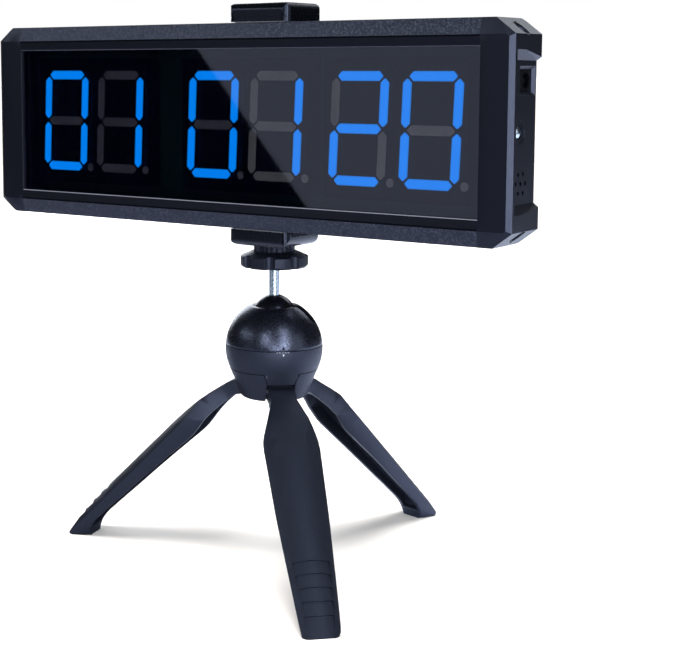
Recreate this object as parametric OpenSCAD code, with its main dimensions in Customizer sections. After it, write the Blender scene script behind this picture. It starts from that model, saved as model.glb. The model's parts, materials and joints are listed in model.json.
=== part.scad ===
// Digital stopwatch: a six-digit LED timer display in a spring clamp on a small folding tripod.
// The origin is on the floor under the middle of the whole timer. Z is up and the display faces -Y.

/* [Display] */
// Height of the display body
disp_h = 85.6; // [84:0.1:86]
// Depth of the display body
disp_t = 23.5; // [23.5:0.5:26]
// Length of the aluminium housing between the end caps
bar_l = 236; // [232:1:244]
// Length of each end cap
cap_l = 14; // [13.6:0.1:16]
// How far the display's middle sits to the left of the clamp
disp_off = 16.5; // [0:0.5:30]
// Height of a digit
digit_h = 45.7; // [40:0.1:47]
// Width of a digit, without its lean
digit_w = 26.6; // [24:0.1:27]
// Spacing of the two digits of a pair
pair_pitch = 32.4; // [32.2:0.1:33]
// Spacing from the first pair to the second
group_pitch_1 = 84.4; // [78:0.1:88]
// Spacing from the second pair to the third
group_pitch_2 = 72.4; // [65:0.1:76]

/* [Clamp] */
// Width of the clamp's jaws
jaw_w = 30.3; // [28:0.1:34]
// Depth of the clamp's jaws
jaw_d = 24.2; // [24:0.1:25]
// Travel of the sprung upper jaw
jaw_travel = 8; // [4:1:8]

/* [Ball head] */
// Radius of the round head
head_r = 20.7; // [20.5:0.1:22]
// Radius of the tilting ball
ball_r = 9.2; // [9:0.1:9.4]
// Radius of the chrome stem
stem_r = 2.2; // [2:0.1:2.5]
// Radius of the star lock knob
knob_r = 14.3; // [13:0.1:16]

/* [Legs] */
// Direction of the first leg, seen from above
leg_turn = -44.2; // [-60:0.1:-30]
// Widest width of a leg
leg_w = 23.2; // [22:0.2:24]
// Width of a leg at its foot
foot_w = 16.1; // [15:0.1:17]

/* [Quality] */
// Smoothness of round pieces
smooth = 64; // [48:8:96]

/* [Hidden] */
// the tripod's centre, from the origin: the pieces are drawn round it and then placed
axis_x = disp_off;          // the display's middle is over the origin
axis_y = -11.49;            // the feet reach as far forwards as backwards
// places of the main pieces
front_y = -14;              // front plane of the display
disp_z = 142.3;             // underside of the display
disp_x = -disp_off;         // middle of the display
half_l = bar_l / 2;         // the seam between housing and end cap
end_x = half_l + cap_l;     // the end of the display
// front frame of the display
rim_h = 6.3;                // height of the outer bevel
rim_d = 1.65;               // depth of the outer bevel
lip_h = 10.7;               // from the edge to the window opening
lip_d = 0.8;                // depth of the inner bevel
wall = 1.6;                 // housing wall
win_y = 1.6;                // front face of the window
win_t = 2;                  // thickness of the window
port_r = 2.9;               // screw port in the housing
port_y = disp_t / 2;        // depth of the screw ports
port_z = 3.9;               // screw ports from the top and bottom edge
cut_x = 8.1;                // corner cut of the end caps, along the display
cut_z = 6.1;                // and down its end
cap_wall = 2;
recess = 2.05;              // sunken panel in the end of a cap
recess_y = 2.9;
recess_z0 = 12.6;
recess_z1 = 73.8;
bevel_x = 2.1;              // bevel round the front of an end cap, along the display
bevel_y = 1.3;              // and in depth
// inside the display
board_y = 13.5;             // front of the LED board
board_t = 1.6;
mod_y = 4.2;                // front of the digit modules
mod_t = 9;
mod_w = 32;
mod_h = 56;
digit_x0 = -93.4;           // middle of the first digit
// ports on the right end
mid_z = disp_h / 2;
jack_y = 16.2;
jack_z = 62.2;
jack_hole_y = 17.9;
buzz_z = 23.9;
btn_z = mid_z + 0.3;        // the button is level with the digits
btn_y = 10.3;
btn_r = 2.3;
btn_travel = 1.2;
// clamp
jaw_y0 = -12.9;             // front of the jaws
jaw_y1 = jaw_y0 + jaw_d;
low_z0 = 135.2;             // underside of the lower jaw
low_z1 = disp_z - 0.4;
up_z0 = disp_z + disp_h + 0.35;
up_z1 = up_z0 + 7.65;
spine_z0 = 141.6;           // foot of the spine and of its channel
spine_w = 18;
spine_y1 = 18.6;
spine_z1 = 222;
arm_w = 11.6;
arm_y0 = 12.8;
arm_y1 = 16.4;
chan_w = 12.4;
cover_y = 16.9;
spring_r = 1.7;
// stem and knob
thread_r = 3.1;             // quarter inch screw on top of the stem
fit = 0.05;                 // running fit on a radius
knob_z0 = 125.8;
knob_z1 = 130.5;
knob_z2 = 132.6;
stem_z1 = 140;
// ball head
head_z = 91.3;              // middle of the round head
seam_z = 92.8;              // seam between cap and lower shell
ball_z = 104.8;
rim_z = 109.1;              // flat top rim of the head
slot_w = 5.4;
slot_turn = leg_turn + 66;
seat_z0 = 92.2;             // seat under the ball
seat_z1 = 100;
part_z = 82.6;              // lower shell meets the hub
part_r = sqrt(head_r * head_r - (head_z - part_z) * (head_z - part_z));
tab_z = 78;               // underside of the tabs over the legs
hub_z0 = 70.2;
// legs
pin_r0 = 11.6;              // hinge pin from the centre
pin_z = 74.6;
pin_r = 1.5;
barrel_r = 3.6;
neck_w = 10.8;
leg_slot_w = 11.8;
pin_l = 14.4;
draft_a = 20;               // lean of a leg's sides

black = [0.10, 0.105, 0.125];
dark = [0.16, 0.165, 0.19];
steel = [0.78, 0.80, 0.84];

// helpers

// a profile drawn in depth and height, run along X from x0 to x1
module along_x(x0, x1) translate([x0, 0, 0]) rotate([90, 0, 90]) linear_extrude(x1 - x0) children();

// an outline drawn in X and Z, run along Y from y0 to y1
module along_y(y0, y1) translate([0, y1, 0]) rotate([90, 0, 0]) linear_extrude(y1 - y0) children();

// a rod along X
module rod_x(r, x0, x1) translate([x0, 0, 0]) rotate([0, 90, 0]) cylinder(r = r, h = x1 - x0, $fn = smooth);

// a rod along Y
module rod_y(r, y0, y1) translate([0, y0, 0]) rotate([-90, 0, 0]) cylinder(r = r, h = y1 - y0, $fn = smooth);

// a box from one corner to the other
module block(a, b) translate(a) cube(b - a);

// a rectangle with round corners, from one corner to the other
module round_rect(a, b, r) {
    translate([a.x + r, a.y]) square([b.x - a.x - 2 * r, b.y - a.y]);
    translate([a.x, a.y + r]) square([b.x - a.x, b.y - a.y - 2 * r]);
    for (x = [a.x + r, b.x - r], y = [a.y + r, b.y - r]) translate([x, y]) circle(r = r, $fn = smooth);
}

// moves a piece drawn round the tripod's centre to its place
module placed() translate([axis_x, axis_y, 0]) children();

// stands the display's own frame in its place
module in_display() translate([disp_x, front_y, disp_z]) children();

// leg k's own frame: X points outwards from the tripod's centre
module on_leg(k) rotate([0, 0, leg_turn + 120 * k]) children();

// display

// half of the housing's profile, for its top edge: z is measured down from the edge
function rim_pts() = [[rim_d, 0], [0, rim_h], [lip_d, lip_h], [win_y - 0.05, lip_h],
                      [win_y - 0.05, 7.6], [win_y + win_t + 0.1, 7.6], [win_y + win_t + 0.1, 9.6],
                      [5.2, 9.6], [5.2, wall], [disp_t, wall], [disp_t, 0]];

// top bar of the housing, with its screw port and the groove that holds the LED board
module housing_edge() {
    difference() {
        union() {
            polygon([for (p = rim_pts()) [p.x, disp_h - p.y]]);
            translate([port_y, disp_h - port_z]) circle(r = port_r, $fn = smooth);
            translate([board_y - 1.1, disp_h - 9.6]) square([board_t + 2.2, 6]);
        }
        translate([port_y, disp_h - port_z]) circle(r = 1.25, $fn = 32);
        translate([board_y - 0.1, disp_h - 10]) square([board_t + 0.2, 2.4]);
    }
}

// the housing's whole profile
module housing_profile() {
    housing_edge();
    translate([0, disp_h]) mirror([0, 1]) housing_edge();
    translate([disp_t - wall, 0]) square([wall, disp_h]);
}

module housing() placed() color(dark) in_display() difference() {
    along_x(-half_l, half_l) housing_profile();
    // two shallow grooves along the back
    for (z = [22, disp_h - 22])
        block([-half_l - 1, disp_t - 0.5, z - 0.8], [half_l + 1, disp_t + 1, z + 0.8]);
}

module window() placed() color([0.02, 0.025, 0.05]) in_display()
    block([-half_l, win_y, 7.8], [half_l, win_y + win_t, disp_h - 7.8]);

// closed front-to-back profile of an end cap
module cap_profile() {
    r = 1.6;
    arc = [for (a = [0 : 15 : 90]) [disp_t - r + r * cos(a), disp_h - r + r * sin(a)]];
    polygon(concat([[rim_d, 0], [0, rim_h], [0, disp_h - rim_h], [rim_d, disp_h]],
        [for (i = [6 : -1 : 0]) arc[i]], [for (i = [0 : 6]) [arc[i].x, disp_h - arc[i].y]]));
}

// outline of an end cap seen from the front, from its seam to the cut corners
module cap_outline() polygon([[0, 0], [cap_l - cut_x, 0], [cap_l, cut_z], [cap_l, disp_h - cut_z],
    [cap_l - cut_x, disp_h], [0, disp_h]]);

// bevel along a front edge: a wedge that runs up and down
module edge_bevel(len) translate([0, 0, -len / 2]) linear_extrude(len)
    polygon([[0.1 * bevel_x, 1.1 * bevel_y], [-1.1 * bevel_x, -0.1 * bevel_y], [-1.1 * bevel_x, -3], [3, -3],
             [3, 1.1 * bevel_y]]);

// outline of the sunken panel, from recess_z0 + a to recess_z1 - b, with ramps ra and rb long at its ends
module panel_outline(a, ra, b, rb) polygon([[cap_l + 1, recess_z0 + a - ra / recess],
    [cap_l - recess, recess_z0 + a + ra], [cap_l - recess, recess_z1 - b - rb],
    [cap_l + 1, recess_z1 - b + rb / recess]]);

// blank of an end cap: seam at x = 0, outer end at x = cap_l
module cap_blank() difference() {
    intersection() {
        along_x(0, cap_l) cap_profile();
        along_y(-1, disp_t + 1) cap_outline();
    }
    // outer front edges
    translate([cap_l, 0, mid_z]) edge_bevel(disp_h);
    for (s = [-1, 1]) translate([cap_l - cut_x / 2, 0, mid_z + s * (mid_z - cut_z / 2)])
        rotate([0, -s * atan2(cut_x, cut_z), 0]) edge_bevel(30);
    // inner bevel, mitred into the bars
    hull() {
        block([-1, -0.01, rim_h], [4.6, 0, disp_h - rim_h]);
        block([-1, lip_d - 0.01, lip_h], [0, lip_d, disp_h - lip_h]);
    }
    // sunken panel, open at the back, between two ramps that grow steeper towards the back
    hull() {
        along_y(recess_y, recess_y + 0.01) panel_outline(0, 3.4, 0, 3.9);
        along_y(disp_t + 0.5, disp_t + 0.51) panel_outline(2, 1.5, 2.8, 1.4);
    }
    // hollow inside
    block([-1, 3.4, 9.4], [cap_l - recess - cap_wall, disp_t - cap_wall, disp_h - 9.4]);
    for (z = [port_z, disp_h - port_z]) translate([0, port_y, z]) {
        rod_x(1.7, -1, cap_l);
        rod_x(2.6, 6.5, cap_l + 1);
    }
}

module right_end_cap() placed() color(dark) in_display() translate([half_l, 0, 0]) difference() {
    cap_blank();
    floor_x = cap_l - recess;
    // opening for the jack, with a chamfered rim
    hull() {
        block([floor_x, jack_y - 6.7, jack_z - 5.5], [floor_x + 0.01, jack_y + 6.7, jack_z + 5.5]);
        block([floor_x - 1.2, jack_y - 5.5, jack_z - 4.3], [floor_x - 1.19, jack_y + 5.5, jack_z + 4.3]);
    }
    block([floor_x - 3, jack_y - 5.5, jack_z - 4.3], [floor_x - 1.1, jack_y + 5.5, jack_z + 4.3]);
    // hole and shallow ring of the power button
    translate([0, btn_y, btn_z]) {
        rod_x(btn_r + 0.35, 4, cap_l);
        rod_x(4.3, floor_x - 0.4, cap_l);
    }
    // seven sound holes
    for (row = [-1, 0, 1], i = [0 : (row == 0 ? 2 : 1)])
        translate([0, port_y + 4 * (i - (row == 0 ? 1 : 0.5)), buzz_z + 3.5 * row]) rod_x(0.85, 4, cap_l);
}

module left_end_cap() placed() color(dark) in_display()
    mirror([1, 0, 0]) translate([half_l, 0, 0]) cap_blank();

// self-tapping screw along X, its head outwards
module end_screw() {
    rod_x(1.2, -7, 6.6);
    difference() {
        rod_x(2.5, 6.5, 8.4);
        translate([7.6, 0, 0]) for (a = [0, 90]) rotate([a, 0, 0]) block([0, -1.6, -0.35], [2, 1.6, 0.35]);
    }
}

module end_cap_screws() placed() color(steel) in_display()
    for (s = [0, 1], z = [port_z, disp_h - port_z])
        mirror([s, 0, 0]) translate([half_l, port_y, z]) end_screw();

// middle of digit i, which belongs to pair floor(i / 2)
function digit_x(i) =
    digit_x0 + pair_pitch * (i % 2) + (i > 1 ? group_pitch_1 : 0) + (i > 3 ? group_pitch_2 : 0);

// one bar of a digit, with pointed ends
module seg(l, w) polygon([[-l / 2, 0], [-l / 2 + w / 2, w / 2], [l / 2 - w / 2, w / 2], [l / 2, 0],
                          [l / 2 - w / 2, -w / 2], [-l / 2 + w / 2, -w / 2]]);

// the seven bars and the dot of a digit, seen from the front
module digit_bars() {
    w = 4.2;
    h = digit_h - w;
    l = digit_w - w;
    for (k = [-1, 0, 1]) translate([0, k * h / 2]) seg(l - 0.9, w);
    for (i = [-1, 1], k = [-1, 1]) translate([i * l / 2, k * h / 4]) rotate(90) seg(h / 2 - 0.9, w);
    translate([digit_w / 2 + 2.3, -digit_h / 2 + 2]) circle(r = 1.9, $fn = 32);
}

// a digit module: its black block, with the bars sunk into its face and pins at the back
module digit(i) placed() color(black) in_display() translate([digit_x(i), 0, btn_z]) {
    difference() {
        block([-mod_w / 2, mod_y, -mod_h / 2], [mod_w / 2, mod_y + mod_t, mod_h / 2]);
        // the bars lean a little to the right
        multmatrix([[1, 0, 0.042, 0], [0, 1, 0, 0], [0, 0, 1, 0]])
            along_y(mod_y - 1, mod_y + 0.3) digit_bars();
    }
    for (k = [-1, 1], j = [-2 : 2])
        translate([j * 5.08, 0, k * 24]) rod_y(0.3, mod_y + mod_t - 0.1, board_y + 0.1);
}
module digit_1() digit(0);
module digit_2() digit(1);
module digit_3() digit(2);
module digit_4() digit(3);
module digit_5() digit(4);
module digit_6() digit(5);

module led_board() placed() color([0.05, 0.22, 0.12]) in_display() difference() {
    block([-half_l + 4, board_y, 7.7], [half_l - 5, board_y + board_t, disp_h - 7.7]);
    for (i = [0 : 5], k = [-1, 1], j = [-2 : 2])
        translate([digit_x(i) + j * 5.08, 0, btn_z + k * 24]) rod_y(0.35, board_y - 0.2, board_y + 0.15);
}

module board_header() placed() color([0.75, 0.65, 0.3]) in_display()
    block([40, board_y + board_t, 30], [45, 18.2, 55]);

module control_board() placed() color([0.05, 0.22, 0.12]) in_display() {
    block([22, 18.2, 18], [88, 19.6, 68]);
    block([28, 19.5, 36], [40, 21.2, 48]);
    block([60, 19.5, 28], [68, 21.2, 44]);
    translate([76, 0, 58]) rod_y(3.1, 19.5, 21.4);
}

module battery_pack() placed() color([0.35, 0.38, 0.45]) in_display()
    block([-98, 16, 18], [-18, 21.6, 67]);

module buzzer() placed() color(black) in_display() translate([half_l, port_y, buzz_z]) difference() {
    rod_x(6, -0.4, cap_l - recess - cap_wall);
    rod_x(1, cap_l - recess - cap_wall - 2, cap_l);
}

// barrel jack: body, hole and centre pin
module dc_jack() placed() color(black) in_display() translate([half_l + cap_l - recess - 1.6, 0, jack_z]) {
    difference() {
        block([-13.2, jack_y - 5.4, -4.2], [0, jack_y + 5.3, 4.2]);
        translate([0, jack_hole_y, 0]) rod_x(2.9, -9.5, 1);
    }
    translate([0, jack_hole_y, 0]) rod_x(1, -10, -1);
}

// latching switch behind the panel
module power_switch() placed() color(black) in_display() translate([half_l, btn_y, btn_z]) difference() {
    block([-3, -4, -4], [6.4, 4, 4]);
    rod_x(btn_r + 0.3, 3.2, 7);
}

// domed button, flush with the panel
module power_button() placed() color(steel) in_display()
    translate([half_l + cap_l - recess - 0.9, btn_y, btn_z]) rotate([0, 90, 0])
    rotate_extrude($fn = smooth) difference() {
        union() {
            translate([0, -cap_l + recess + 6]) square([btn_r, cap_l - recess - 6]);
            intersection() {
                translate([0, -2.6]) circle(r = 3.47, $fn = 96);
                square([btn_r, 2]);
            }
        }
        translate([-10, -10]) square([10, 20]);
    }

// clamp

// outline of a jaw from above: wide corners in front, tight ones at the spine
module jaw_plan(e = 0) {
    round_rect([-jaw_w / 2 + e, jaw_y0 + e], [jaw_w / 2 - e, jaw_y1 - 2], 3.5 - e);
    round_rect([-jaw_w / 2 + e, jaw_y1 - 8], [jaw_w / 2 - e, jaw_y1], 1);
}

// a jaw: its outline from above, with round edges seen from the front and a round front edge
module jaw_block(z0, z1, r_top, r_low, r_front) intersection() {
    translate([0, 0, z0]) linear_extrude(z1 - z0) jaw_plan();
    along_x(-jaw_w, jaw_w) round_rect([jaw_y0, r_low > 0 ? z0 : z0 - 20],
        [jaw_y1 + 20, r_top > 0 ? z1 : z1 + 20], r_front);
    along_y(jaw_y0 - 1, jaw_y1 + 1) round_rect([-jaw_w / 2, r_low > 0 ? z0 : z0 - 20],
        [jaw_w / 2, r_top > 0 ? z1 : z1 + 20], max(r_top, r_low));
}

module clamp_body() placed() color(black) difference() {
    union() {
        jaw_block(low_z0, low_z1, 0, 5, 3);
        block([-spine_w / 2, jaw_y1 - 1, low_z0 + 0.8], [spine_w / 2, spine_y1, spine_z0 + 1]);
        block([-spine_w / 2, jaw_y1 + 0.2, spine_z0], [spine_w / 2, spine_y1, spine_z1]);
    }
    // socket for the threaded insert
    translate([0, 0, low_z0 - 1]) cylinder(r = 4.2, h = spine_z0 - low_z0 - 0.2, $fn = smooth);
    // pocket for the lower pad
    block([-12.4, jaw_y0 + 1.4, low_z1 - 0.6], [12.4, jaw_y1 - 1.4, low_z1 + 1]);
    // channel for the sliding arm, open at the top, and the seat of its cover
    block([-chan_w / 2, arm_y0 - 0.3, spine_z0 + 2.4], [chan_w / 2, cover_y + 0.01, spine_z1 + 1]);
    block([-spine_w / 2 + 0.5, cover_y, spine_z0 + 1.4], [spine_w / 2 - 0.5, spine_y1 + 1, spine_z1 + 1]);
    for (x = [-1, 1], z = [spine_z0 + 8, spine_z1 - 8])
        translate([x * 7.3, 0, z]) rod_y(0.6, cover_y - 4, spine_y1);
}

// brass insert for a quarter inch screw
module clamp_insert() placed() color([0.8, 0.65, 0.3]) difference() {
    translate([0, 0, low_z0 - 0.2]) cylinder(r = 4.2, h = spine_z0 - low_z0 - 1, $fn = smooth);
    translate([0, 0, low_z0 - 1]) cylinder(r = thread_r + fit, h = 8, $fn = smooth);
}

module clamp_cover() placed() color(black) difference() {
    block([-spine_w / 2 + 0.6, cover_y, spine_z0 + 1.5], [spine_w / 2 - 0.6, spine_y1, spine_z1]);
    // finger grooves
    for (i = [0 : 5]) block([-5, spine_y1 - 0.5, 172 + 4 * i], [5, spine_y1 + 1, 174 + 4 * i]);
    for (x = [-1, 1], z = [spine_z0 + 8, spine_z1 - 8]) translate([x * 7.3, 0, z]) {
        rod_y(0.6, cover_y - 1, spine_y1);
        rod_y(1, spine_y1 - 0.7, spine_y1 + 1);
    }
}

module cover_screws() placed() color(steel)
    for (x = [-1, 1], z = [spine_z0 + 8, spine_z1 - 8]) translate([x * 7.3, 0, z]) {
        rod_y(0.6, cover_y - 4, spine_y1 - 0.6);
        rod_y(1, spine_y1 - 0.7, spine_y1 - 0.05);
    }

module upper_jaw() placed() color(black) difference() {
    union() {
        jaw_block(up_z0, up_z1, 3.3, 0, 3.3);
        block([-arm_w / 2, jaw_y1 - 1, up_z0], [arm_w / 2, arm_y1, up_z1 - 2.6]);
        block([-arm_w / 2, arm_y0, 172], [arm_w / 2, arm_y1, up_z0 + 1]);
    }
    // parting groove round the front and the sides
    difference() {
        block([-jaw_w, jaw_y0 - 1, up_z0 + 1.6], [jaw_w, jaw_y1 - 2, up_z0 + 1.9]);
        translate([0, 0, up_z0]) linear_extrude(5) jaw_plan(0.3);
    }
    block([-12.4, jaw_y0 + 1.4, up_z0 - 1], [12.4, jaw_y1 - 1.4, up_z0 + 0.6]);
    // hooks for the springs
    for (x = [-1, 1]) translate([x * 3.2, 0, 174.5]) rod_y(0.8, arm_y0 - 1, arm_y1 + 1);
}

// one coil spring standing on z = 0
module coil(h, turns) linear_extrude(h, twist = -360 * turns, slices = 12 * turns)
    polygon([for (s = [1, -1], a = [-40 : 20 : 40]) let (t = s * a, w = 0.32 * cos(t * 90 / 48))
        (spring_r + s * w) * [cos(t), sin(t)]]);

module clamp_springs() placed() color(steel) for (x = [-1, 1])
    translate([x * 3.2, (arm_y0 + arm_y1) / 2, spine_z0 + 3]) coil(27, 12);

module lower_pad() placed() color([0.72, 0.73, 0.76])
    block([-12.3, jaw_y0 + 1.5, low_z1 - 0.6], [12.3, jaw_y1 - 1.5, disp_z - 0.05]);
module upper_pad() placed() color([0.72, 0.73, 0.76])
    block([-12.3, jaw_y0 + 1.5, disp_z + disp_h + 0.05], [12.3, jaw_y1 - 1.5, up_z0 + 0.6]);
module back_pad() placed() color([0.2, 0.2, 0.22])
    block([-8, front_y + disp_t + 0.1, 150], [8, jaw_y1 + 0.2, 214]);

// lock knob

// star outline with eight lobes
module star(r) difference() {
    circle(r = r, $fn = smooth);
    for (k = [0 : 7]) rotate(k * 45 - 62.9) translate([r + 0.7, 0]) circle(r = 2.3, $fn = smooth);
}

module lock_knob() placed() color(dark) difference() {
    intersection() {
        translate([0, 0, knob_z0]) linear_extrude(knob_z1 - knob_z0 + 3) star(knob_r);
        rotate_extrude($fn = smooth) polygon([[0, knob_z0], [knob_r - 0.8, knob_z0], [knob_r, knob_z0 + 0.8],
            [knob_r, knob_z1], [9.6, knob_z2], [0, knob_z2]]);
    }
    translate([0, 0, knob_z0 - 1]) cylinder(r = thread_r + fit, h = 12, $fn = smooth);
    translate([0, 0, knob_z0 + 1.4]) cylinder(r = 5, h = 12, $fn = 6);
}

module knob_nut() placed() color([0.8, 0.65, 0.3]) difference() {
    translate([0, 0, knob_z0 + 1.4]) cylinder(r = 5, h = knob_z2 - knob_z0 - 1.4, $fn = 6);
    translate([0, 0, knob_z0 - 1]) cylinder(r = thread_r + fit, h = 12, $fn = smooth);
}

// ribbed friction washer between the knob and the clamp
module knob_washer() placed() color(dark) difference() {
    union() {
        translate([0, 0, knob_z2]) cylinder(r = 8.2, h = low_z0 - knob_z2, $fn = smooth);
        for (a = [0 : 12 : 348])
            rotate([0, 0, a]) translate([8.1, 0, knob_z2]) cylinder(r = 0.55, h = 2.1, $fn = 8);
    }
    translate([0, 0, knob_z2 - 1]) cylinder(r = thread_r + fit, h = 12, $fn = smooth);
    translate([0, 0, low_z0 - 0.3]) cylinder(r = 4.3, h = 2, $fn = smooth);
}

// ball head

module stem() placed() color(steel) {
    translate([0, 0, ball_z]) cylinder(r = stem_r, h = knob_z0 - ball_z, $fn = smooth);
    translate([0, 0, knob_z0]) cylinder(r = thread_r, h = stem_z1 - knob_z0, $fn = smooth);
}

module tilt_ball() placed() color(black) difference() {
    translate([0, 0, ball_z]) sphere(r = ball_r, $fn = smooth);
    translate([0, 0, ball_z]) cylinder(r = stem_r, h = 30, $fn = smooth);
}

module ball_cap() placed() color(dark) difference() {
    intersection() {
        translate([0, 0, head_z]) sphere(r = head_r, $fn = smooth);
        translate([0, 0, seam_z + 0.15]) cylinder(r = 30, h = rim_z - seam_z - 0.15, $fn = smooth);
    }
    // socket, mouth and the room below for the seat and the collar
    translate([0, 0, ball_z]) sphere(r = ball_r + 0.3, $fn = smooth);
    translate([0, 0, ball_z]) cylinder(r = ball_r - 0.9, h = 20, $fn = smooth);
    translate([0, 0, head_z - 1]) cylinder(r = 10.6, h = seat_z1 + 0.3 - head_z + 1, $fn = smooth);
    translate([0, 0, head_z - 1]) cylinder(r = 15.3, h = 5.6, $fn = smooth);
    // slot that lets the stem tilt level
    rotate([0, 0, slot_turn]) {
        translate([0, 0, ball_z]) rod_x(slot_w / 2, 0, 30);
        block([0, -slot_w / 2, ball_z], [30, slot_w / 2, 120]);
    }
}

module ball_seat() placed() color([0.85, 0.85, 0.82]) difference() {
    translate([0, 0, seat_z0]) cylinder(r = 10.3, h = seat_z1 - seat_z0, $fn = smooth);
    translate([0, 0, ball_z]) sphere(r = ball_r + 0.3, $fn = smooth);
}

// outside of the head below the seam: a ball that runs into a cone with a rounded bottom edge
module lower_form(z0, z1) intersection() {
    rotate_extrude($fn = smooth) difference() {
        union() {
            intersection() {
                translate([0, head_z]) circle(r = head_r, $fn = 128);
                translate([0, part_z]) square([30, 30]);
            }
            polygon(concat([[0, part_z + 0.01], [part_r, part_z + 0.01]],
                [for (a = [0 : 15 : 90]) [12.6 + 2 * cos(a), hub_z0 + 2 - 2 * sin(a)]], [[0, hub_z0]]));
        }
        translate([-40, 0]) square([40, 200]);
    }
    translate([0, 0, z0]) cylinder(r = 40, h = z1 - z0, $fn = smooth);
}

// the space that a leg's root needs, with the tab's sloping shoulders above it
module leg_slot(w, clear) on_leg(0) along_x(7.4, 40)
    polygon([[-w / 2, hub_z0 - 1], [w / 2, hub_z0 - 1], [w / 2, 78.6], [w / 2 + 1.7 + clear, part_z + clear],
             [-w / 2 - 1.7 - clear, part_z + clear], [-w / 2, 78.6]]);

module hub() placed() color(dark) difference() {
    lower_form(hub_z0, part_z);
    for (k = [0 : 2]) rotate([0, 0, 120 * k]) leg_slot(leg_slot_w, 0.01);
    // hinge pin holes
    for (k = [0 : 2]) on_leg(k) translate([pin_r0, 0, pin_z]) rod_y(pin_r, -pin_l / 2, pin_l / 2);
    translate([0, 0, hub_z0 - 1]) cylinder(r = 1.7, h = 20, $fn = 48);
    translate([0, 0, hub_z0 - 1]) cylinder(r = 3.2, h = 4, $fn = 48);
}

module lower_shell() placed() color(dark) difference() {
    union() {
        lower_form(part_z, seam_z - 0.15);
        // threaded collar inside the cap
        translate([0, 0, part_z]) cylinder(r = 15, h = head_z + 4 - part_z, $fn = smooth);
        // a tab over each leg
        for (k = [0 : 2]) rotate([0, 0, 120 * k]) intersection() {
            lower_form(tab_z, part_z + 0.6);
            on_leg(0) along_x(14.6, 30) polygon([[-5.75, tab_z], [5.75, tab_z], [5.75, 78.8],
                [7.4, part_z - 0.2], [7.4, part_z + 1], [-7.4, part_z + 1], [-7.4, part_z - 0.2],
                [-5.75, 78.8]]);
        }
    }
    // stepped bore: a ledge for the seat, and room below it
    translate([0, 0, seat_z0]) cylinder(r = 10.35, h = 20, $fn = smooth);
    translate([0, 0, 86]) cylinder(r = 7, h = 20, $fn = smooth);
    translate([0, 0, part_z - 1]) cylinder(r = 1.25, h = 5, $fn = 48);
}

module centre_screw() placed() color(steel) {
    translate([0, 0, hub_z0 + 1]) cylinder(r = 3, h = 2, $fn = 48);
    translate([0, 0, hub_z0 + 3]) cylinder(r = 1.25, h = 84.6 - hub_z0 - 3, $fn = 48);
}

// legs

// a leg's outer line: distance along its run from the pin, height above the run
function leg_top() = [[1.2, 4.1], [2.2, 5], [5, 6.1], [9, 7], [14, 8], [20, 8.9], [26, 9.5], [33, 10],
    [42, 10.4], [50, 10.6], [84, 10.6], [90, 10.4], [96, 9.8], [103, 8.8], [108.6, 7.6], [113.6, 6.8]];

// a leg's underside, from the heel back to its root
function leg_low() = [[113.6, 0], [107, -2.5], [105.6, -1.5], [105, -0.6], [104.3, 0.3], [103, 1.4],
    [101, 2.3], [98.5, 2.75], [95.5, 2.9], [85, 2.5], [75, 2], [65, 1.6], [54, 1], [44, 0.35], [39, 0],
    [34, -0.3], [31, -0.25], [27.5, 0.25], [23, 0.95], [19, 1.15], [15, 1.1], [10, 0.6], [6, 0]];

// side view of a leg in its own plane: distance from the tripod's centre, height
module leg_side() intersection() {
    translate([pin_r0, pin_z]) rotate(-45)
        polygon(concat(leg_top(), leg_low(), [for (a = [-45 : -15 : -285]) barrel_r * [cos(a), sin(a)]]));
    square([200, 200]);
}

// a leg's outline seen square to its run: distance along it from the pin, half of its width
function leg_half() = [[-4.2, neck_w / 2], [9, neck_w / 2], [11.5, neck_w / 2 + 0.75],
    [15, neck_w / 2 + 1.8], [19, neck_w / 2 + 3.15], [22.5, leg_w / 2 - 1.95], [26, leg_w / 2 - 0.95],
    [29, leg_w / 2 - 0.3], [33, leg_w / 2], [38, leg_w / 2 - 0.03], [46, leg_w / 2 - 0.3],
    [62, leg_w / 2 - 0.95], [76, leg_w / 2 - 1.6], [88, foot_w / 2 + 1.15], [100, foot_w / 2 + 0.3],
    [108, foot_w / 2 - 0.3], [110.5, foot_w / 2 - 0.75], [111.8, foot_w / 2 - 1.65],
    [112.6, foot_w / 2 - 3.25], [113, foot_w / 2 - 5.5], [113.1, 0]];

// that outline, drawn in by e
module leg_plan(e = 0) {
    p = leg_half();
    n = len(p);
    polygon(concat([for (q = p) [q.x, max(q.y - e, 0)]],
        [for (i = [n - 2 : -1 : 0]) [p[i].x, min(e - p[i].y, 0)]]));
}

// frame of the leg's run: X along it from the pin, Z outwards
module in_run() translate([pin_r0, 0, pin_z]) rotate([0, 45, 0]) children();

// stands an outline that lies along the run, square to it
module on_run(h) in_run() translate([0, 0, -h / 2]) linear_extrude(h) children();

// crown of the outer face: a slender cone that narrows with the leg, d below its full height
module crown(d) in_run() translate([-10, 0, 10.5 - d]) rotate([0, -atan(0.12), 0]) translate([0, 0, -24.6])
    rotate([0, 90, 0]) cylinder(r1 = 24.6, r2 = 24.6 - 0.12 * 135, h = 135, $fn = 96);

// what the draft takes off the sides, w further in: they lean in below the edges of the outer face
module draft(w) for (s = [0, 1], x = [[33, 62], [62, 108]]) {
    h0 = lookup(x[0], leg_half());
    h1 = lookup(x[1], leg_half());
    in_run() mirror([0, s, 0]) translate([x[0], h0 + 0.1 - w, 7])
        rotate([-draft_a, 0, -atan((h0 - h1) / (x[1] - x[0]))]) translate([-100, 0, -60])
        cube([260, 30, 120]);
}
// the same for the heel, which leans in further
module heel_draft(w) for (s = [0, 1]) in_run() mirror([0, s, 0]) translate([100.5, foot_w / 2 + 0.5 - w, 5])
    rotate([-32, 0, -4]) translate([0, 0, -60]) cube([60, 30, 120]);

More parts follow.
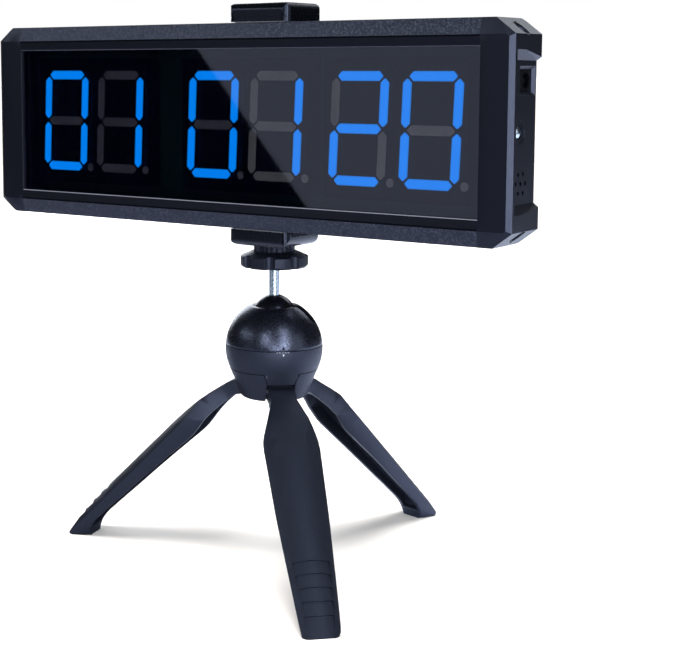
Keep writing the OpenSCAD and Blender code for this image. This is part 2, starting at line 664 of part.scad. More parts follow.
// a step of the grip: the outer face sinks at x and comes back to its height further down
module grip_step(x) {
    run = 4.6;
    end = x + run + 0.9;
    difference() {
        in_run() block([x, -20, 0], [x + run, 20, 20]);
        in_run() translate([end, 0, lookup(end, leg_top())]) rotate([0, -7.5, 0])
            translate([-end, 0, -lookup(end, leg_top())]) rotate([0, -45, 0]) translate([-pin_r0, 0, -pin_z])
                intersection() {
                    crown(0);
                    in_run() along_y(-20, 20) polygon(concat(leg_top(), [[112.9, -6], [1.2, -6]]));
                }
    }
}

module leg() color(dark) difference() {
    intersection() {
        along_y(-20, 20) leg_side();
        on_run(120) leg_plan();
        crown(0);
    }
    draft(0);
    heel_draft(0);
    // open channel underneath
    difference() {
        intersection() {
            in_run() along_y(-leg_w, leg_w) polygon([[7, -9], [10, 2.6], [13, 4], [18, 5.6], [24, 6.8],
                [32, 7.7], [44, 8.3], [84, 8.3], [94, 8], [98.5, 7.1], [101, 5.6], [102, 3.8], [101.8, 2.2],
                [100.8, -2], [99.5, -9]]);
            crown(2.1);
            on_run(140) leg_plan(1.9);
        }
        draft(1.9);
    }
    // hinge bore
    translate([pin_r0, 0, pin_z]) rod_y(pin_r + fit, -10, 10);
    // saw-tooth grip on the foot, between two plain edges
    intersection() {
        for (i = [0 : 4]) grip_step(82.4 + 5.4 * i);
        on_run(140) leg_plan(2.3);
    }
}

module leg_front() placed() on_leg(0) leg();
module leg_rear() placed() on_leg(1) leg();
module leg_left() placed() on_leg(2) leg();

module leg_pins() placed() color(steel) for (k = [0 : 2]) on_leg(k)
    translate([pin_r0, 0, pin_z]) rod_y(pin_r, -pin_l / 2, pin_l / 2);

hub();
lower_shell();
ball_cap();
ball_seat();
centre_screw();
leg_front();
leg_rear();
leg_left();
leg_pins();
tilt_ball();
stem();
lock_knob();
knob_nut();
knob_washer();
clamp_body();
clamp_insert();
clamp_cover();
cover_screws();
upper_jaw();
clamp_springs();
lower_pad();
upper_pad();
back_pad();
housing();
window();
right_end_cap();
left_end_cap();
end_cap_screws();
digit_1();
digit_2();
digit_3();
digit_4();
digit_5();
digit_6();
led_board();
control_board();
board_header();
battery_pack();
buzzer();
dc_jack();
power_switch();
power_button();
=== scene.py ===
"""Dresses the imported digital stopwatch: materials, lit digits and fine detail, camera and studio light."""

import json
import math

import bmesh
import bpy
import numpy as np
from mathutils import Matrix, Vector


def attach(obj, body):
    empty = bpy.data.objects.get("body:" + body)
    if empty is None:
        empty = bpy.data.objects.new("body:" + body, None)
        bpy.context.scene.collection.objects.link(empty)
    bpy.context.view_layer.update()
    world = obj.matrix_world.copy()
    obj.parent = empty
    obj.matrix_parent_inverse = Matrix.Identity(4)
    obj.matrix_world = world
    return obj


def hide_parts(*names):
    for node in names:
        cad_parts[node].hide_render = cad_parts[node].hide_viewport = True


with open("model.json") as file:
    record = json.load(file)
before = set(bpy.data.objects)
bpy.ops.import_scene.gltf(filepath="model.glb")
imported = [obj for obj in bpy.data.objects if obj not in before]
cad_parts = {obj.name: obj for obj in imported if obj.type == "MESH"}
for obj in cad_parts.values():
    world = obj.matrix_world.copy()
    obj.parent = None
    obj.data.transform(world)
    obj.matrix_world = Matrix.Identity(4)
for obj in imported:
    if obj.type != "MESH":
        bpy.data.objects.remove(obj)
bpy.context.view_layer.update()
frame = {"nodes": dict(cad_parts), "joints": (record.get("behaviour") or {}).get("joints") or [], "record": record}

MM = 0.001

# places in the shared frame, in millimetres, as in the part's source
turn = next(j for j in frame["joints"] if j["name"] == "head_turn")
AXIS_X, AXIS_Y = turn["pos_m"][0] / MM, turn["pos_m"][1] / MM

# the display: its middle, underside, height, front and half the length between its end caps
DISPLAY_X = AXIS_X - 16.5
DISPLAY_Z = 142.3
DISPLAY_H = 85.6
FRONT_Y = AXIS_Y - 14.0
HALF_BAR = 118.0

# its frame, from the underside or the top: the ridge, the strip of painted shade beside it and the edge round the
# window
RIDGE, SHADE_STRIP_W, LIP = 6.1, 0.9, 10.3
# how far from the middle that edge ends in the caps, how far back the frame's front faces reach, and the window
LIP_X = HALF_BAR + 0.15
FRAME_Y = FRONT_Y + 0.95
WINDOW_Y = FRONT_Y + 1.6

# the digits: face of the modules, level, size of a figure, width and gap of its bars, slant, and places
MODULE_Y = FRONT_Y + 4.2
DIGIT_Z = DISPLAY_Z + DISPLAY_H / 2 + 0.3
DIGIT_H, DIGIT_W = 45.7, 26.6
BAR_W, BAR_GAP = 4.2, 0.9
LEAN = 0.042
PAIR_X = (-93.4, -9.0, 63.4)
PAIR_PITCH = 32.4
SHAPES = {"0": "abcdef", "1": "bc", "2": "abged"}
READING = "010120"

# the round head, and the legs: angle of the first one, radius and height of their pins
HEAD_Z, HEAD_R = 91.3, 20.7
LEG_TURN = -44.2
LEG_ROOT_R, LEG_ROOT_Z = 11.6, 74.6

slot_of = {s["node"]: s["material_slot"] for s in frame["record"]["subparts"]}
body_of = {n: body for body, names in frame["record"]["behaviour"]["bodies"].items() for n in names}


# materials

# colour sockets of a Mix node, whose names its number sockets have too
MIX_A, MIX_B, MIX_OUT = 6, 7, 2


def link(tree, a, a_out, b, b_in):
    tree.links.new(a.outputs[a_out], b.inputs[b_in])


def node(tree, kind, **values):
    n = tree.nodes.new(kind)
    for key, value in values.items():
        if key in n.inputs:
            n.inputs[key].default_value = value
        else:
            setattr(n, key, value)
    return n


def ranged(tree, from_min, from_max, to_min=0.0, to_max=1.0, **values):
    n = node(tree, "ShaderNodeMapRange", **values)
    for key, value in (("From Min", from_min), ("From Max", from_max), ("To Min", to_min), ("To Max", to_max)):
        n.inputs[key].default_value = value
    return n


def mixed(tree, share, share_out, first, second):
    """The output of a mix of two colours by a share. The first is a colour or another node's output."""
    mix = node(tree, "ShaderNodeMix", data_type="RGBA")
    link(tree, share, share_out, mix, "Factor")
    if isinstance(first, bpy.types.NodeSocket):
        tree.links.new(first, mix.inputs[MIX_A])
    else:
        mix.inputs[MIX_A].default_value = first
    mix.inputs[MIX_B].default_value = second
    return mix.outputs[MIX_OUT]


def srgb(r, g, b):
    """A colour given as it shows on screen, 0 to 255."""
    def linear(v):
        v /= 255
        return v / 12.92 if v <= 0.04045 else ((v + 0.055) / 1.055) ** 2.4
    return (linear(r), linear(g), linear(b), 1.0)


# plastic and lacquer throw back a bluish gloss, metal its own colour
PLASTIC_TINT, METAL_TINT = (0.62, 0.69, 1, 1), (1, 1, 1, 1)


def surface(name, color, roughness, metallic=0.0, specular=0.5, coat=0.0, grain=0.0, grain_size=0.3,
            mottle=0.12, mottle_size=9.0, rough_span=0.08, scratches=0.0):
    """A procedural finish: grain is the height of a fine moulded or blasted texture in micrometres,
    mottle the share by which the colour drifts, rough_span how far the gloss drifts."""
    m = bpy.data.materials.new(name)
    m.use_nodes = True
    t = m.node_tree
    shader = t.nodes["Principled BSDF"]
    shader.inputs["Metallic"].default_value = metallic
    shader.inputs["Specular IOR Level"].default_value = specular
    shader.inputs["Specular Tint"].default_value = PLASTIC_TINT if metallic < 0.5 else METAL_TINT
    shader.inputs["Coat Weight"].default_value = coat
    shader.inputs["Coat Roughness"].default_value = 0.08
    where = node(t, "ShaderNodeTexCoord")

    drift = node(t, "ShaderNodeTexNoise", Scale=1000 / mottle_size, Detail=3.0, Roughness=0.6)
    link(t, where, "Object", drift, "Vector")
    shades = mixed(t, drift, "Fac", [c * (1 - mottle) for c in color[:3]] + [1],
                   [min(1, c * (1 + mottle)) for c in color[:3]] + [1])
    t.links.new(shades, shader.inputs["Base Color"])

    fine = node(t, "ShaderNodeTexNoise", Scale=1000 / grain_size, Detail=2.0, Roughness=0.55)
    link(t, where, "Object", fine, "Vector")
    gloss = ranged(t, 0.3, 0.7, max(0.02, roughness - rough_span), min(1, roughness + rough_span))
    link(t, fine if grain else drift, "Fac", gloss, "Value")
    link(t, gloss, "Result", shader, "Roughness")
    last = None
    if grain:
        last = node(t, "ShaderNodeBump", Strength=1.0, Distance=grain * 1e-6)
        link(t, fine, "Fac", last, "Height")
    if scratches:
        stretch = node(t, "ShaderNodeMapping")
        stretch.inputs["Scale"].default_value = (30, 2600, 2600)
        link(t, where, "Object", stretch, "Vector")
        lines = node(t, "ShaderNodeTexNoise", Scale=1.0, Detail=2.0)
        link(t, stretch, "Vector", lines, "Vector")
        scored = node(t, "ShaderNodeBump", Strength=1.0, Distance=scratches * 1e-6)
        link(t, lines, "Fac", scored, "Height")
        if last:
            link(t, last, "Normal", scored, "Normal")
        last = scored
    if last:
        link(t, last, "Normal", shader, "Normal")
    return m


def coordinates(m):
    return next(n for n in m.node_tree.nodes if n.type == "TEX_COORD")


def recolour(m, share, color):
    """Turns the colour of a finish to another one by the result of a range node."""
    t = m.node_tree
    base = t.nodes["Principled BSDF"].inputs["Base Color"]
    t.links.new(mixed(t, share, "Result", base.links[0].from_socket, color), base)


def painted_bounce_below(m, color):
    """Paints bounce light from the floor: the colour turns paler with the face's downward slope."""
    t = m.node_tree
    parts = node(t, "ShaderNodeSeparateXYZ")
    link(t, coordinates(m), "Normal", parts, "Vector")
    slope = ranged(t, -0.08, -0.75, interpolation_type="SMOOTHSTEP")
    link(t, parts, "Z", slope, "Value")
    recolour(m, slope, color)


def speckled(m, color, size):
    """Bead blasting leaves small pale grains: the colour turns with a fine noise."""
    t = m.node_tree
    fine = node(t, "ShaderNodeTexNoise", Scale=1000 / size, Detail=1.0, Roughness=0.5)
    link(t, coordinates(m), "Object", fine, "Vector")
    share = ranged(t, 0.48, 0.66)
    link(t, fine, "Fac", share, "Value")
    recolour(m, share, color)


def glowing(name, color, strength, base):
    m = bpy.data.materials.new(name)
    m.use_nodes = True
    t = m.node_tree
    shader = t.nodes["Principled BSDF"]
    shader.inputs["Base Color"].default_value = base
    shader.inputs["Roughness"].default_value = 0.6
    shader.inputs["Specular IOR Level"].default_value = 0.2
    where = node(t, "ShaderNodeTexCoord")
    drift = node(t, "ShaderNodeTexNoise", Scale=220.0, Detail=1.0)
    link(t, where, "Object", drift, "Vector")
    t.links.new(mixed(t, drift, "Fac", [c * 0.94 for c in color[:3]] + [1], color), shader.inputs["Emission Color"])
    shader.inputs["Emission Strength"].default_value = strength
    return m


def smoked_acrylic(name):
    """Dark tinted sheet: each face lets a share of the light through and gives a sharp reflection."""
    m = surface(name, srgb(2, 3, 8), 0.03, specular=1.0, coat=1.0, rough_span=0.01, mottle=0.05)
    shader = m.node_tree.nodes["Principled BSDF"]
    shader.inputs["Alpha"].default_value = 0.6
    shader.inputs["Coat Roughness"].default_value = 0.03
    return m


# one finish for each material slot of the record
FINISH = {slot: surface(slot, color, roughness, **more) for slot, color, roughness, more in (
    ("tripod_plastic", srgb(9, 11, 17), 0.50, dict(specular=0.84, grain=34, grain_size=0.7, mottle=0.2)),
    ("head_shell", srgb(4, 5, 8), 0.31, dict(specular=1.0, grain=60, grain_size=0.8, mottle=0.2)),
    ("knob_plastic", srgb(11, 13, 20), 0.40, dict(specular=0.42, grain=5, grain_size=0.5, mottle=0.2)),
    ("clamp_plastic", srgb(3, 4, 7), 0.24, dict(specular=0.32, grain=1.5, grain_size=0.45, mottle=0.2)),
    ("housing_aluminium", srgb(8, 10, 15), 0.42,
     dict(specular=1.0, grain=150, grain_size=0.7, mottle=0.25, scratches=9)),
    ("cap_plastic", srgb(5, 6, 9), 0.40, dict(specular=0.76, grain=6, grain_size=0.5, mottle=0.2)),
    ("gloss_black", srgb(6, 7, 10), 0.24, dict(rough_span=0.03)),
    ("chrome", srgb(196, 210, 220), 0.26, dict(metallic=1.0, grain=16, grain_size=0.5, mottle=0.06)),
    ("steel", srgb(176, 178, 184), 0.26, dict(metallic=1.0, mottle=0.06)),
    ("brass", srgb(196, 160, 88), 0.28, dict(metallic=1.0)),
    ("nylon", srgb(222, 220, 208), 0.45, dict(mottle=0.03)),
    ("pad_silicone", srgb(150, 153, 160), 0.50, dict(specular=0.3, mottle=0.06, grain=4)),
    ("pad_foam", srgb(30, 30, 34), 0.85, dict(specular=0.15, grain=40, grain_size=0.7)),
    ("circuit_board", srgb(16, 66, 40), 0.38, dict(coat=0.3, mottle=0.18, mottle_size=4)),
    ("battery_wrap", srgb(52, 70, 110), 0.30, dict(coat=0.3)),
    ("digit_module", srgb(4, 6, 14), 0.8, dict(specular=0.05)),
)}
FINISH["window_acrylic"] = smoked_acrylic("window_acrylic")
# painted bounce light: the clamp's rounded undersides are paler than its other faces
painted_bounce_below(FINISH["clamp_plastic"], srgb(46, 49, 60))
speckled(FINISH["housing_aluminium"], srgb(38, 40, 48), 0.85)

# finishes of single faces: the frame's front, painted shade, painted highlights on the window's edge, the digits'
# bars, and the marks and painted glints
FRAME = surface("frame_face", srgb(3, 4, 7), 0.40, specular=0.32, grain=12, grain_size=0.42, mottle=0.2)
CAP_FACE = surface("cap_face", srgb(3, 4, 7), 0.40, specular=0.42, grain=6, grain_size=0.5, mottle=0.2)
# painted shade: a dark finish for the strip beside the frame's ridge, the inside of the cap's slot and the right
# cap's edge by the window; also for the parting lines and the dark arrow mark
SHADE_SEAMS_AND_MARKS = surface("painted_shade_seams_and_marks", srgb(2, 3, 5), 0.6, specular=0.08, grain=6)
# painted highlights: a bright and a dimmer pale finish for the narrow edge round the window, where it catches the
# light
PAINTED_HIGHLIGHT_EDGE = surface("painted_highlight_edge", srgb(104, 106, 116), 0.35, specular=0.5, grain=4)
PAINTED_DIM_HIGHLIGHT = surface("painted_dim_highlight_edge", srgb(46, 48, 58), 0.35, specular=0.45, grain=4)
# a pale finish for the arrow mark on the shell and for the painted glints along the seam
MARK_AND_GLINT = surface("mark_and_painted_glint", srgb(150, 158, 176), 0.5, specular=0.4, mottle=0.05)
LIT = glowing("digit_lit", srgb(0, 134, 255), 5.3, srgb(2, 30, 70))
LIT_EDGE = glowing("digit_lit_edge", srgb(0, 130, 240), 4.6, srgb(2, 30, 70))
UNLIT = surface("digit_unlit", srgb(214, 214, 222), 0.8, specular=0.1, mottle=0.05)
# painted shade: the unlit bars of the three left digits are darker, as less light falls on them
UNLIT_PAINTED_SHADE = surface("digit_unlit_painted_shade", srgb(150, 151, 166), 0.8, specular=0.1, mottle=0.05)

for name, obj in frame["nodes"].items():
    obj.data.materials.clear()
    obj.data.materials.append(FINISH[slot_of[name]])


# pieces with eased edges

# edges that bend less than this stay as they are, and shading breaks at edges that bend more than that
EASED_FROM, SHARP_FROM = math.radians(25), math.radians(32)


def tidy(bm):
    """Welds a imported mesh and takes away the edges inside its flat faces."""
    bmesh.ops.remove_doubles(bm, verts=bm.verts, dist=2e-6)
    bmesh.ops.dissolve_limit(bm, angle_limit=math.radians(0.4), verts=bm.verts, edges=bm.edges,
                             use_dissolve_boundaries=False)
    bmesh.ops.recalc_face_normals(bm, faces=bm.faces)


def eased(name, width, shortest, flat=True, cuts=()):
    """A copy of a CAD node whose sharp edges are rounded by width, where they are longer than shortest, both in
    millimetres. It stands for the node. flat is for pieces with plain faces, which stay plain. cuts are planes,
    each a point and a normal, that part long faces, so that a curved face's shading stays out of its neighbours'."""
    source = frame["nodes"][name]
    bm = bmesh.new()
    bm.from_mesh(source.data)
    tidy(bm)
    picked = [e for e in bm.edges if len(e.link_faces) == 2 and e.calc_face_angle(0) > EASED_FROM
              and e.calc_length() > shortest * MM]
    bmesh.ops.bevel(bm, geom=picked, offset=width * MM, segments=2, profile=0.5, affect="EDGES",
                    clamp_overlap=True, offset_type="OFFSET")
    for point, normal in cuts:
        bmesh.ops.bisect_plane(bm, geom=bm.verts[:] + bm.edges[:] + bm.faces[:], dist=1e-6, plane_co=point,
                               plane_no=normal)
    mesh = bpy.data.meshes.new(name + "_form")
    bm.to_mesh(mesh)
    bm.free()
    for p in mesh.polygons:
        p.use_smooth = True
    mesh.set_sharp_from_angle(angle=SHARP_FROM)
    obj = bpy.data.objects.new(name + "_form", mesh)
    mesh.materials.append(FINISH[slot_of[name]])
    bpy.context.scene.collection.objects.link(obj)
    if flat:
        obj.modifiers.new("normals", "WEIGHTED_NORMAL").keep_sharp = True
    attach(obj, body_of[name])
    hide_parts(name)
    return obj


def levels(*heights):
    """Level cuts, each at a height in millimetres above the display's underside and as far below its top."""
    return [(Vector((0, 0, z)) * MM, Vector((0, 0, 1))) for h in heights
            for z in (DISPLAY_Z + h, DISPLAY_Z + DISPLAY_H - h)]


def dress(obj, material, test):
    """Gives the faces that pass the test, by middle in millimetres and normal, a finish of their own."""
    index = len(obj.data.materials)
    obj.data.materials.append(material)
    for p in obj.data.polygons:
        if test(p.center / MM, p.normal):
            p.material_index = index


def depth(c):
    """How far a point lies in from the display's underside or top."""
    return min(c.z - DISPLAY_Z, DISPLAY_Z + DISPLAY_H - c.z)


def at_lip(c, n):
    """Whether a face belongs to the narrow edge round the window."""
    return c.y < FRAME_Y and n.y < -0.3 and depth(c) > LIP


# the sunk faces of the frame are darker than its outer bevels, with a strip of painted shade beside the ridge and
# a painted highlight on the edge round the window, brighter below the digits than above them
housing = eased("housing", 0.35, 50, cuts=levels(RIDGE + SHADE_STRIP_W, LIP))
dress(housing, FRAME, lambda c, n: c.y < FRAME_Y and n.y < -0.9 and depth(c) > RIDGE)
dress(housing, SHADE_SEAMS_AND_MARKS, lambda c, n: c.y < FRAME_Y and n.y < -0.9 and RIDGE < depth(c) < RIDGE + SHADE_STRIP_W)
dress(housing, PAINTED_DIM_HIGHLIGHT, lambda c, n: at_lip(c, n) and c.z > DIGIT_Z)
dress(housing, PAINTED_HIGHLIGHT_EDGE, lambda c, n: at_lip(c, n) and c.z < DIGIT_Z)
# the caps' edge round the window: painted shade on the right cap, a dim painted highlight on the left one
for side, name, lip_painted_light in ((1, "right_end_cap", SHADE_SEAMS_AND_MARKS), (-1, "left_end_cap", PAINTED_DIM_HIGHLIGHT)):
    cap = eased(name, 0.3, 1.4, cuts=[(Vector((side * LIP_X + DISPLAY_X, 0, 0)) * MM, Vector((1, 0, 0)))])
    dress(cap, CAP_FACE, lambda c, n: c.y < FRAME_Y and n.y < -0.97 and depth(c) > RIDGE)
    dress(cap, lip_painted_light, lambda c, n: at_lip(c, n) and abs(c.x - DISPLAY_X) < LIP_X)

eased("clamp_body", 0.45, 0.2)
eased("upper_jaw", 0.35, 0.2)
eased("lock_knob", 0.3, 0.2)
eased("hub", 0.22, 0.05, flat=False)
eased("lower_shell", 0.22, 0.05, flat=False)

# painted shade inside the cap's slot: the faces that lie under its round skin and below its rim get the dark finish
SKIN_T, SLOT_TOP = 0.7, 108
ball_cap = eased("ball_cap", 0.3, 0.2, flat=False)
head_middle = Vector((AXIS_X, AXIS_Y, HEAD_Z))
dress(ball_cap, SHADE_SEAMS_AND_MARKS, lambda c, n: (c - head_middle).length < HEAD_R - SKIN_T and c.z < SLOT_TOP)

# along a leg from its pin, in millimetres: the cuts, the stretch whose curve the foot's crown takes over
# and the start of the steps of the grip
LEG_CUTS = (16, 20, 24, 28, 32, 38, 46, 56, 66, 74, 79, 81.5)
CROWN_FROM, CROWN_TO = 66, 80
GRIP_FROM = 81.9
STEP_BEND = math.radians(12)
FACING_UP = 0.8


def crowned(form, root, run, up):
    """Shades the top of a leg's foot as one even crown, with the curve that the leg has further up."""
    mesh, side = form.data, run.cross(up)
    samples = []
    for p in mesh.polygons:
        c = p.center - root
        if CROWN_FROM * MM < c.dot(run) < CROWN_TO * MM and p.normal.dot(up) > FACING_UP:
            samples.append((c.dot(side), p.normal.dot(side), p.area))
    slope = sum(x * n * a for x, n, a in samples) / sum(x * x * a for x, n, a in samples)
    normals = [n.vector.copy() for n in mesh.corner_normals]
    for p in mesh.polygons:
        if (p.center - root).dot(run) < CROWN_TO * MM or p.normal.dot(up) < FACING_UP:
            continue
        for i in p.loop_indices:
            c = mesh.vertices[mesh.loops[i].vertex_index].co - root
            if c.dot(run) > CROWN_TO * MM:
                normals[i] = (up + side * slope * c.dot(side)).normalized()
    mesh.normals_split_custom_set(normals)


def crisp_steps(form, root, run):
    """Keeps the edges across the steps of a leg's grip crisp, and so their faces plain."""
    bm = bmesh.new()
    bm.from_mesh(form.data)
    for e in bm.edges:
        start, end = (v.co for v in e.verts)
        across = abs((end - start).normalized().dot(run)) < 0.3
        if len(e.link_faces) == 2 and e.calc_face_angle(0) > STEP_BEND and across \
                and ((start + end) / 2 - root).dot(run) > GRIP_FROM * MM:
            e.smooth = False
    bm.to_mesh(form.data)
    bm.free()


for k, leg in enumerate(("leg_front", "leg_rear", "leg_left")):
    way = math.radians(LEG_TURN + 120 * k)
    root = Vector((AXIS_X + LEG_ROOT_R * math.cos(way), AXIS_Y + LEG_ROOT_R * math.sin(way), LEG_ROOT_Z)) * MM
    run = Vector((math.cos(way), math.sin(way), -1)).normalized()
    form = eased(leg, 0.3, 0.2, flat=False, cuts=[(root + run * s * MM, run) for s in LEG_CUTS])
    crisp_steps(form, root, run)
    crowned(form, root, run, Vector((math.cos(way), math.sin(way), 1)).normalized())


# parting lines, marks and painted glints of the head

def new_piece(name, verts, faces, materials, cad_node, smooth=False):
    """A piece of its own in millimetres, which moves with a CAD node."""
    mesh = bpy.data.meshes.new(name)
    mesh.from_pydata([tuple(c * MM for c in v) for v in verts], [], faces)
    mesh.update()
    for p in mesh.polygons:
        p.use_smooth = smooth
    obj = bpy.data.objects.new(name, mesh)
    for m in materials:
        mesh.materials.append(m)
    bpy.context.scene.collection.objects.link(obj)
    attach(obj, body_of[cad_node])
    return obj


def tube(name, points, radius, material, cad_node, sides=8):
    """A closed round line through points on a surface about the tripod's axis."""
    verts, faces = [], []
    points = [Vector(p) for p in points]
    for i, p in enumerate(points):
        along = points[min(i + 1, len(points) - 1)] - points[max(i - 1, 0)]
        out = Vector((p.x - AXIS_X, p.y - AXIS_Y, 0)).normalized()
        across = along.cross(out).normalized()
        out = across.cross(along).normalized()
        for k in range(sides):
            a = 2 * math.pi * k / sides
            verts.append(tuple(p + radius * (out * math.cos(a) + across * math.sin(a))))
    for i in range(len(points) - 1):
        for k in range(sides):
            a, b = i * sides + k, i * sides + (k + 1) % sides
            faces.append((a, b, b + sides, a + sides))
    faces.append(tuple(reversed(range(sides))))
    faces.append(tuple(range(len(verts) - sides, len(verts))))
    return new_piece(name, verts, faces, [material], cad_node, smooth=True)


# the parting line between the lower shell and the hub, up one tab's shoulder, round, and down the next:
# angles from a leg's middle in degrees, heights, and the shell's radius at the upper height and its slope
TAB_FOOT, TAB_RISE = (20.2, 78.7), (3.4, 3.9)
LINE_FROM, LINE_TURN, LINE_Z = 23.6, 72.8, 82.6
SHELL_R, SHELL_SLOPE = 18.68, 0.41
RISE_STEPS, TURN_STEPS = 6, 36
for k in range(3):
    first = LEG_TURN + 120 * k
    path = [(first + TAB_FOOT[0] + TAB_RISE[0] * i / RISE_STEPS, TAB_FOOT[1] + TAB_RISE[1] * i / RISE_STEPS)
            for i in range(RISE_STEPS + 1)]
    rise = path[:]
    path += [(first + LINE_FROM + LINE_TURN * i / TURN_STEPS, LINE_Z) for i in range(1, TURN_STEPS)]
    path += [(2 * first + 120 - a, z) for a, z in reversed(rise)]
    path = [(math.radians(a), z, SHELL_R + SHELL_SLOPE * (z - LINE_Z)) for a, z in path]
    tube(f"parting_line_{k + 1}", [(AXIS_X + r * math.cos(a), AXIS_Y + r * math.sin(a), z) for a, z, r in path],
         0.21, SHADE_SEAMS_AND_MARKS, "hub")


def head_mark(name, outline, material, cad_node):
    """A thin plate on the ball: outline in degrees about the axis, from the front to the right, and height."""
    verts = []
    for lift in (-0.12, 0.05):
        for az, z in outline:
            r = math.sqrt(HEAD_R ** 2 - (z - HEAD_Z) ** 2) + lift
            verts.append((AXIS_X + r * math.sin(math.radians(az)), AXIS_Y - r * math.cos(math.radians(az)), z))
    n = len(outline)
    faces = [tuple(range(n)), tuple(range(2 * n - 1, n - 1, -1))]
    faces += [(k, k + n, (k + 1) % n + n, (k + 1) % n) for k in range(n)]
    return new_piece(name, verts, faces, [material], cad_node)


# raised marks by the seam of the head: an arrow on the cap and one on the shell, and small painted glints of the
# seam's edge between them
head_mark("arrow_on_cap", [(44.2, 93.7), (47.8, 93.7), (46, 95.2)], SHADE_SEAMS_AND_MARKS, "ball_cap")
head_mark("arrow_on_shell", [(44.8, 91.8), (47.2, 91.8), (46, 90.8)], MARK_AND_GLINT, "lower_shell")
GLINT_HALF, GLINT_Z = 0.9, (92.62, 92.4)
for k, az in enumerate((38.6, 41.6, 45.0, 48.2, 51.6)):
    left, right = az - GLINT_HALF, az + GLINT_HALF
    head_mark(f"painted_glint_{k + 1}", [(left, GLINT_Z[0]), (right, GLINT_Z[0]), (right, GLINT_Z[1]), (left, GLINT_Z[1])],
              MARK_AND_GLINT, "lower_shell")


# digits

def bar_outline(length, width, inset):
    """One bar of a digit with pointed ends, its points blunted a little."""
    l, w, b = length / 2 - inset * 1.2, width / 2 - inset, 0.35
    return [(-l + b, b), (-l + w, w), (l - w, w), (l - b, b), (l - b, -b), (l - w, -w), (-l + w, -w), (-l + b, -b)]


def digit_bars():
    """Outlines of the seven bars a to g and the dot, in the digit's own X and Z."""
    h, w = DIGIT_H - BAR_W, DIGIT_W - BAR_W
    places = {"a": (0, h / 2, 0), "g": (0, 0, 0), "d": (0, -h / 2, 0),
              "f": (-w / 2, h / 4, 1), "e": (-w / 2, -h / 4, 1), "b": (w / 2, h / 4, 1), "c": (w / 2, -h / 4, 1)}
    for key, (x, z, upright) in places.items():
        length = (h / 2 if upright else w) - BAR_GAP
        rings = []
        for inset in (0.15, 0.55):
            pts = bar_outline(length, BAR_W, inset)
            rings.append([(x - q, z + p) if upright else (x + p, z + q) for p, q in pts])
        yield key, rings
    dot_x, dot_z = DIGIT_W / 2 + 2.3, -DIGIT_H / 2 + 2
    yield "dot", [[(dot_x + r * math.cos(a), dot_z + r * math.sin(a))
                   for a in np.linspace(0, 2 * math.pi, 28, endpoint=False)] for r in (1.8, 1.4)]


# the face of the bars, and how far behind it their bevel and their foot in the module lie
FACE_Y = MODULE_Y + 0.12
BEVEL_BACK, FOOT_BACK = 0.05, 0.17
for i, figure in enumerate(READING):
    cx = DISPLAY_X + PAIR_X[i // 2] + PAIR_PITCH * (i % 2)
    groups = {"lit": ([], [], []), "unlit": ([], [], [])}
    for key, rings in digit_bars():
        verts, faces, mats = groups["lit" if key in SHAPES[figure] else "unlit"]
        base = len(verts)
        n = len(rings[0])
        # wall down into the module, then the bevel, then the face
        for ring, y in ((rings[0], FACE_Y + FOOT_BACK), (rings[0], FACE_Y + BEVEL_BACK), (rings[1], FACE_Y)):
            verts.extend((cx + p + LEAN * q, y, DIGIT_Z + q) for p, q in ring)
        for level in (0, 1):
            for k in range(n):
                a, b = base + level * n + k, base + level * n + (k + 1) % n
                faces.append((a, b, b + n, a + n))
                mats.append(1)
        faces.append(tuple(base + 2 * n + k for k in range(n)))
        faces.append(tuple(base + n - 1 - k for k in range(n)))
        mats.extend((0, 0))
    for kind, (verts, faces, mats) in groups.items():
        # the three left digits' unlit bars take the painted shade
        obj = new_piece(f"digit_{i + 1}_bars_{kind}", verts, faces,
                        [LIT, LIT_EDGE] if kind == "lit" else [UNLIT if i > 2 else UNLIT_PAINTED_SHADE] * 2, f"digit_{i + 1}")
        obj.data.polygons.foreach_set("material_index", mats)
        bm = bmesh.new()
        bm.from_mesh(obj.data)
        bmesh.ops.recalc_face_normals(bm, faces=bm.faces)
        bm.to_mesh(obj.data)
        bm.free()


# camera: the focal length and the centre are in pixels of a picture of this size, the rest in millimetres
WIDTH, HEIGHT, SENSOR = 679, 650, 36
FOCAL, CENTRE_U, CENTRE_V = 1450.0, 233.97, 230.74
AZIMUTH, PITCH, DISTANCE = math.radians(36.57), math.radians(6.341), 612.92
AIM_Z, AIM_LEFT = 140.93, 17.11
RIGHT = Vector((math.cos(AZIMUTH), math.sin(AZIMUTH), 0))
BACK = Vector((math.sin(AZIMUTH) * math.cos(PITCH), -math.cos(AZIMUTH) * math.cos(PITCH), math.sin(PITCH)))
UP = BACK.cross(RIGHT)
EYE = Vector((AXIS_X, AXIS_Y, AIM_Z)) - RIGHT * AIM_LEFT + BACK * DISTANCE

camera_data = bpy.data.cameras.new("camera")
camera_data.sensor_width = SENSOR
camera_data.lens = FOCAL / WIDTH * SENSOR
camera_data.shift_x = (WIDTH / 2 - CENTRE_U) / WIDTH
camera_data.shift_y = (CENTRE_V - HEIGHT / 2) / WIDTH
camera_data.clip_end = 100
camera = bpy.data.objects.new("camera", camera_data)
bpy.context.scene.collection.objects.link(camera)
camera.matrix_world = Matrix.Translation(EYE * MM) @ Matrix((RIGHT, UP, BACK)).transposed().to_4x4()
bpy.context.scene.camera = camera


# stage

def mirrored(u, v, card_y):
    """Where the window mirrors the pixel (u, v): the point on the upright plane y = card_y, in millimetres."""
    ray = RIGHT * (u - CENTRE_U) - UP * (v - CENTRE_V) - BACK * FOCAL
    on_window = EYE + ray * ((WINDOW_Y - EYE.y) / ray.y)
    ray.y = -ray.y
    return on_window + ray * ((card_y - on_window.y) / ray.y)


